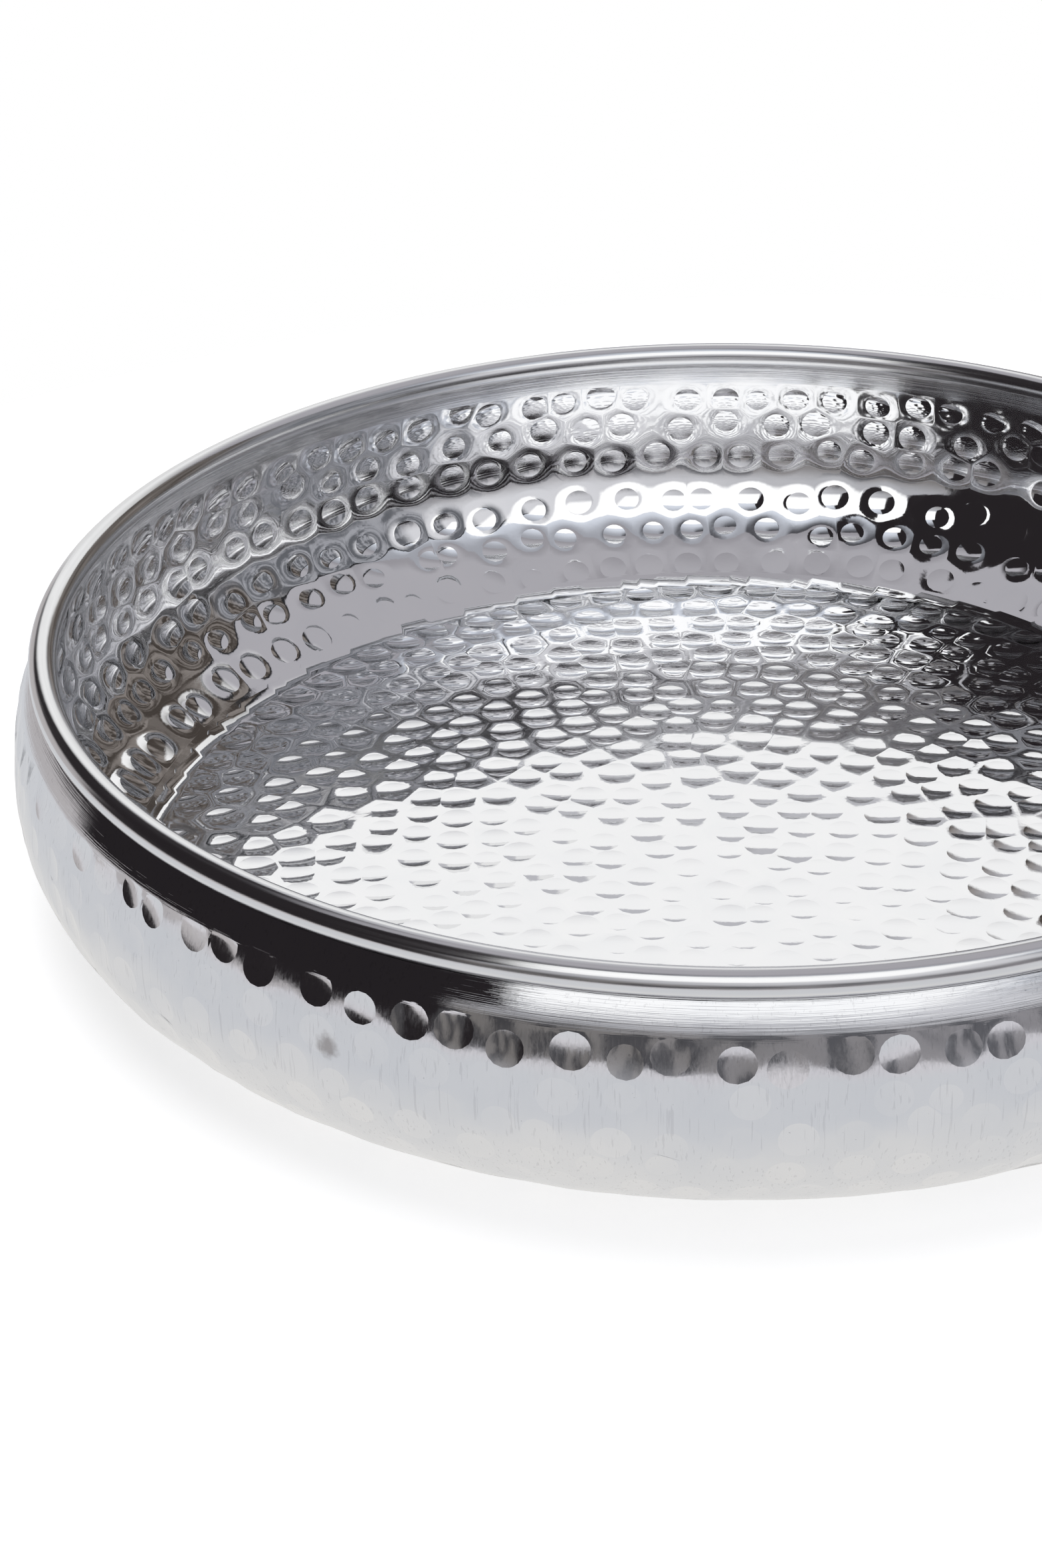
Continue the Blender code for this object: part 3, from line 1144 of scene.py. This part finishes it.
def outside_metal():
    """Aluminium with a soft polish, fine upright hairlines, and strong spin lines under the bead."""
    metal = Metal("outside_aluminium")
    place = metal.place
    haze = metal.span(metal.noise(place, scale=45.0, detail=4.0), 0.35, 0.65, 0.0, 0.6)
    marks = metal.math("MULTIPLY", metal.attribute("struck"), metal.attribute("mark_tone"))
    shade = metal.math("MULTIPLY", metal.math("ADD", haze, marks), 0.7)
    hatch = metal.noise(metal.upright(SCRATCH_SQUEEZE), scale=1300.0, detail=2.0)
    scratches = metal.span(hatch, 0.60, 0.68, 0.0, 0.20)
    specks = metal.span(metal.noise(place, scale=760.0, detail=2.0), 0.72, 0.80, 0.0, 0.40)
    wear = metal.math("MAXIMUM", scratches, specks)
    worn = metal.mix(wear, metal.mix(shade, *OUTSIDE_TONES), WORN_TONE)
    apart = metal.add("ShaderNodeVectorMath", place, STAIN_PLACE, operation="DISTANCE")["Value"]
    ragged = metal.math("MULTIPLY", metal.noise(place, scale=420.0), STAIN_RAGGED)
    stain = metal.span(metal.math("ADD", apart, ragged), *STAIN_REACH, 0.75, 0.0)
    colour = metal.mix(stain, worn, STAIN_TONE)
    hairs = metal.noise(metal.upright(HAIR_SQUEEZE), scale=1500.0, roughness=0.7)
    lines, height = metal.spin_lines()
    rough = metal.math("MULTIPLY", metal.span(hairs, 0.3, 0.7, 0.07, 0.15),
                       metal.span(height, *OUTSIDE_SMOOTH_HEIGHTS, 1.0, 0.30))
    spun = metal.math("MULTIPLY", lines, metal.span(height, *OUTSIDE_SPUN_HEIGHTS))
    turned = metal.bump(spun, distance=0.00010)
    peel = metal.bump(metal.noise(place, scale=380.0, detail=2.0), distance=0.00001, under=turned)
    return metal.finish(colour, rough, metal.bump(hairs, distance=0.0000015, under=peel))


def rim_metal():
    """Spun aluminium of the bead."""
    metal = Metal("spun_aluminium")
    lines, _ = metal.spin_lines()
    haze = metal.noise(metal.place, scale=80.0)
    return metal.grained(lines, haze, SPUN_TONES, rough=(0.13, 0.21), distance=0.000006)


def underside_metal():
    """Duller aluminium, scuffed where the bumps stand on the table."""
    metal = Metal("underside_aluminium")
    scuffs = metal.noise(metal.place, scale=900.0, detail=4.0, roughness=0.7)
    haze = metal.noise(metal.place, scale=40.0, detail=4.0)
    return metal.grained(scuffs, haze, UNDERSIDE_TONES, rough=(0.20, 0.36), distance=0.000008)


def wire_metal():
    """Dull steel of the wire inside the curl."""
    metal = Metal("wire_steel")
    scale = metal.noise(metal.place, scale=500.0, detail=4.0)
    return metal.grained(scale, scale, WIRE_TONES, rough=(0.34, 0.5), distance=0.000010)


# Stage and light

def floor_material():
    """Pale table top: white to the camera except in the tray's own soft shadow; to the metal a painted
    glow, light grey near the tray and darker further out.
    """
    material = bpy.data.materials.new("table_top")
    tree = Tree(material)
    surface = tree.restart("ShaderNodeOutputMaterial")
    place = tree.coordinate("Object")
    path = tree.add("ShaderNodeLightPath")
    paint = tree.mix(tree.noise(place, scale=30.0, detail=2.0), *TABLE_TONES)
    diffuse = tree.add("ShaderNodeBsdfDiffuse", paint)[0]
    glow = tree.math("MULTIPLY", path["Is Camera Ray"], FLOOR_LIFT)
    lift = tree.add("ShaderNodeEmission", WHITE, glow)[0]
    lit = tree.add("ShaderNodeAddShader", diffuse, lift)[0]
    # Painted light for reflection rays: the table's glow darkens with distance from the tray, with a slow
    # drift
    away = tree.add("ShaderNodeVectorMath", place, operation="LENGTH")["Value"]
    drift = tree.math("MULTIPLY", tree.noise(place, scale=14.0, detail=2.0), FLOOR_DRIFT)
    distance = tree.math("ADD", away, drift)
    tone = tree.mix(tree.span(distance, *FLOOR_FAR_START), FLOOR_NEAR_GLOW, FLOOR_FAR_GLOW)
    tone = tree.mix(tree.span(distance, *FLOOR_EDGE_START), tone, FLOOR_EDGE_GLOW)
    painted_glow_in_metal = tree.add("ShaderNodeEmission", tone)[0]
    tree.feed(surface, tree.add("ShaderNodeMixShader", path["Is Glossy Ray"], lit, painted_glow_in_metal)[0])
    return material


def make_floor():
    """A round table top under the tray."""
    x, y = TABLE_CENTRE
    points = []
    for step in range(TABLE_CORNERS):
        turn = math.tau * step / TABLE_CORNERS
        points.append((x + TABLE_RADIUS * math.cos(turn), y + TABLE_RADIUS * math.sin(turn), TABLE_HEIGHT))
    floor = add_mesh("table_top", points, [tuple(range(TABLE_CORNERS))])
    floor.data.materials.append(floor_material())


def panel_material(name, strength, fade):
    """A glowing panel that fades out at its left, right, lower and upper edges over shares of its size."""
    material = bpy.data.materials.new(name)
    tree = Tree(material)
    surface = tree.restart("ShaderNodeOutputMaterial")
    axes = tree.add("ShaderNodeSeparateXYZ", tree.coordinate("UV"))
    mask = 1.0
    for axis, low, high in zip(axes, fade[::2], fade[1::2]):
        mask = tree.math("MULTIPLY", tree.span(axis, 0.0, max(low, LEAST_FADE)), mask)
        mask = tree.math("MULTIPLY", tree.span(axis, 1.0 - max(high, LEAST_FADE), 1.0, 1.0, 0.0), mask)
    clear = tree.add("ShaderNodeBsdfTransparent")[0]
    glow = tree.add("ShaderNodeEmission", WHITE, strength)[0]
    tree.feed(surface, tree.add("ShaderNodeMixShader", mask, clear, glow)[0])
    return material


def make_panel(name, corners, strength, fade):
    """A studio panel that the metal sees and the camera doesn't."""
    panel = add_mesh(name, corners, [(0, 1, 2, 3)])
    layer = panel.data.uv_layers.new(name="UVMap")
    for spot, place in zip(layer.data, ((0, 0), (1, 0), (1, 1), (0, 1))):
        spot.uv = place
    panel.data.materials.append(panel_material(name, strength, fade))
    panel.visible_camera = False
    panel.visible_shadow = False


def room_sides(tree, around, raised):
    """Patchy grey front and right, black left, and a grey back that reaches round on the left."""
    spot = tree.add("ShaderNodeCombineXYZ", tree.math("DIVIDE", around, PATCH_SIZE[0]),
                    tree.math("DIVIDE", raised, PATCH_SIZE[1]))[0]
    patch = tree.span(tree.noise(spot, scale=1.2, detail=1.0), 0.48, 0.52)
    drift = tree.span(tree.noise(spot, scale=1.7, detail=2.0), 0.40, 0.64)

    turned = tree.span(around, *FRONT_TURN)
    front = tree.mix(patch, tree.mix(turned, *FRONT_DARK), tree.mix(turned, *FRONT_PALE))
    front = tree.mix(tree.span(raised, *FRONT_HIGH_START), front, tree.mix(turned, *FRONT_HIGH))
    right = tree.mix(tree.span(around, *RIGHT_BACK_START), tree.mix(drift, *RIGHT_TONES),
                     tree.mix(drift, *RIGHT_BACK_TONES))
    tone = tree.mix(tree.span(around, *RIGHT_START), front, right)

    brought_in = tree.math("SUBTRACT", around, tree.span(raised, *LEFT_CARRY))
    tone = tree.mix(tree.span(brought_in, *LEFT_START), LEFT_TONE, tone)
    left_back = tree.mix(tree.span(raised, *LEFT_BACK_TOP), LEFT_BACK_TONE, LEFT_TONE)
    left_back = tree.mix(tree.span(around, *BACK_LEFT_START), BACK_TONE, left_back)
    carried = tree.math("SUBTRACT", around, tree.span(raised, *LEFT_BACK_CARRY))
    tone = tree.mix(tree.span(carried, *LEFT_BACK_START), left_back, tone)
    return tree.mix(tree.span(around, *BACK_RIGHT_START), tone, BACK_TONE)


def room_ceiling(tree, tone, side, ahead, around, raised):
    """The tones of the sides under a grey ceiling that glows in front and has a dark line at the right."""
    rightness = tree.span(around, *RIGHTNESS)
    leftness = tree.math("MULTIPLY", tree.span(side, *CEILING_LEFT_SIDE),
                         tree.span(ahead, *CEILING_LEFT_AHEAD))
    low = tree.math("ADD", CEILING_START, tree.math("MULTIPLY", leftness, CEILING_LEFT_MORE))
    low = tree.math("SUBTRACT", low, tree.math("MULTIPLY", rightness, CEILING_RIGHT_LESS))
    above = tree.math("SUBTRACT", raised, low)
    tone = tree.mix(tree.math("MULTIPLY", tree.span(above, *LINE_START), rightness), tone, LINE_TONE)
    glow_end = tree.mix(tree.span(around, *GLOW_END_TURN), *GLOW_END_TONES)
    glow = tree.mix(tree.span(ahead, *GLOW_FULL_AHEAD), glow_end, GLOW_TONE)
    ceiling = tree.mix(tree.span(ahead, *CEILING_SHADE_AHEAD), *CEILING_TONES)
    ceiling = tree.mix(tree.span(ahead, *GLOW_START_AHEAD), ceiling, glow)
    edge = tree.math("SUBTRACT", CEILING_SOFTNESS, tree.math("MULTIPLY", rightness, CEILING_RIGHT_SHARPER))
    return tree.mix(tree.span(tree.math("DIVIDE", above, edge), 0.0, 1.0), tone, ceiling)


def make_world():
    """White to the camera; to the metal, a room with its own sides and ceiling."""
    world = bpy.data.worlds.new("studio")
    bpy.context.scene.world = world
    tree = Tree(world)
    surface = tree.restart("ShaderNodeOutputWorld")
    side, back, height = tree.add("ShaderNodeSeparateXYZ", tree.coordinate("Generated"))
    ahead = tree.math("MULTIPLY", back, -1.0)
    around = tree.math("DEGREES", tree.math("ARCTAN2", side, ahead))
    raised = tree.math("DEGREES", tree.math("ARCSINE", height))
    tone = room_sides(tree, around, raised)
    tone = room_ceiling(tree, tone, side, ahead, around, raised)
    studio = tree.add("ShaderNodeBackground", tone)[0]
    white = tree.add("ShaderNodeBackground", WHITE)[0]
    seen = tree.add("ShaderNodeLightPath")["Is Camera Ray"]
    tree.feed(surface, tree.add("ShaderNodeMixShader", seen, studio, white)[0])


def make_light():
    """A wide soft light overhead for the table top; the metal shows the panels instead."""
    lamp = bpy.data.lights.new("overhead", "AREA")
    lamp.shape = "DISK"
    lamp.size = OVERHEAD_SIZE
    lamp.energy = OVERHEAD_POWER
    light = add_object("overhead", lamp)
    light.location = OVERHEAD_PLACE
    light.rotation_euler = (-Vector(OVERHEAD_PLACE)).to_track_quat("-Z", "Y").to_euler()
    light.visible_glossy = False


def make_camera():
    """The camera of the photo, with no lens shift."""
    data = bpy.data.cameras.new("camera")
    data.lens = CAMERA_LENS
    data.sensor_width = SENSOR
    data.clip_start, data.clip_end = CAMERA_CLIP
    camera = add_object("camera", data)
    look = (Vector(CAMERA_AIM) - Vector(CAMERA_PLACE)).normalized()
    level = look.cross(Vector((0.0, 0.0, 1.0))).normalized()
    upright = level.cross(look)
    across = math.cos(CAMERA_ROLL) * level + math.sin(CAMERA_ROLL) * upright
    above = math.cos(CAMERA_ROLL) * upright - math.sin(CAMERA_ROLL) * level
    turn = Matrix((across, above, -look)).transposed().to_4x4()
    camera.matrix_world = Matrix.Translation(CAMERA_PLACE) @ turn
    bpy.context.scene.camera = camera


def main():
    dish = make_dish()
    for material in (inside_metal(), rim_metal(), outside_metal(), underside_metal()):
        dish.data.materials.append(material)
    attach(dish, "root")
    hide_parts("dish")
    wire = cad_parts["rim_wire"]
    wire.data.materials.clear()
    wire.data.materials.append(wire_metal())
    make_floor()
    for panel in PANELS:
        make_panel(*panel)
    make_world()
    make_light()
    make_camera()
    bpy.context.scene.view_settings.view_transform = "Standard"


main()
